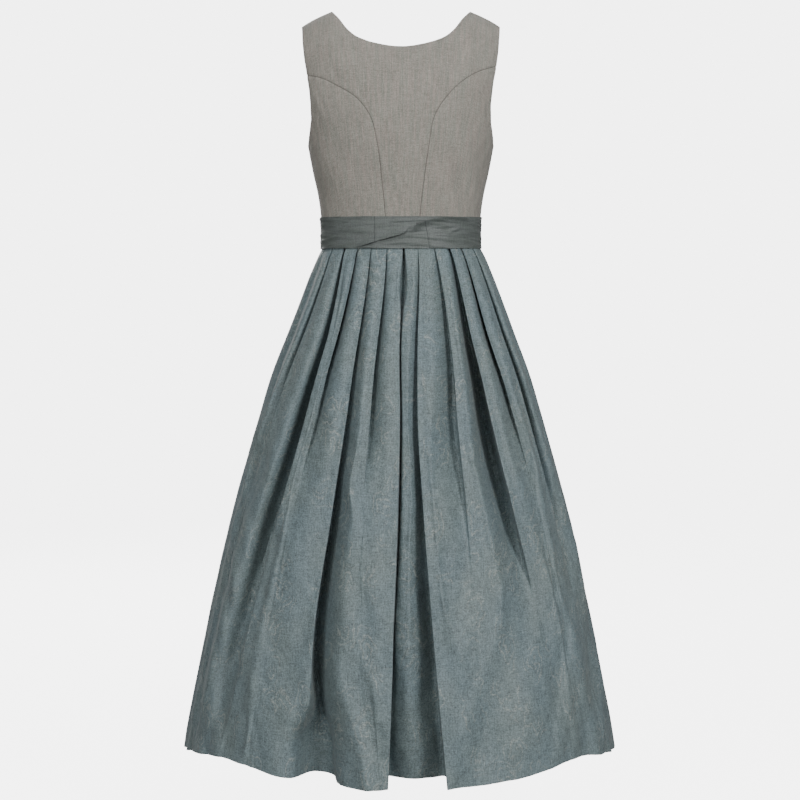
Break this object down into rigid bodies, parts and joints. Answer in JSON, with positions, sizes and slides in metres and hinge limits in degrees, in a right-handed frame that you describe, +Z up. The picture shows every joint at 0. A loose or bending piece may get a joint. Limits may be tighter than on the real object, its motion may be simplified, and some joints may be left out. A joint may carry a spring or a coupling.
{
  "type": "dirndl",
  "caption": "Long sleeveless dirndl, worn form: fitted linen bodice with a scooped back, sash tied across the back, pleated full skirt.",
  "frame": {"origin": "midway between the two shoulder seams, level with their neck ends, where the wearer's shoulders hold the dress", "axes": "+Z up along the dress; the back of the dress faces -Y and its front +Y; +X is the picture's right"},
  "size_m": [0.742, 0.5759, 1.2644],
  "materials": {
    "linen": "matt slubbed plain weave",
    "sash_cloth": "soft silky sheen",
    "skirt_cloth": "fine tone on tone jacquard, slight sheen"
  },
  "bodies": {
    "root": {"bodice_back_centre": "linen", "bodice_back_left": "linen", "bodice_back_right": "linen", "bodice_front_left": "linen", "bodice_front_right": "linen", "sash_front": "sash_cloth", "sash_left": "sash_cloth", "sash_right": "sash_cloth", "skirt_back": "skirt_cloth", "skirt_front": "skirt_cloth"}
  },
  "joints": []
}
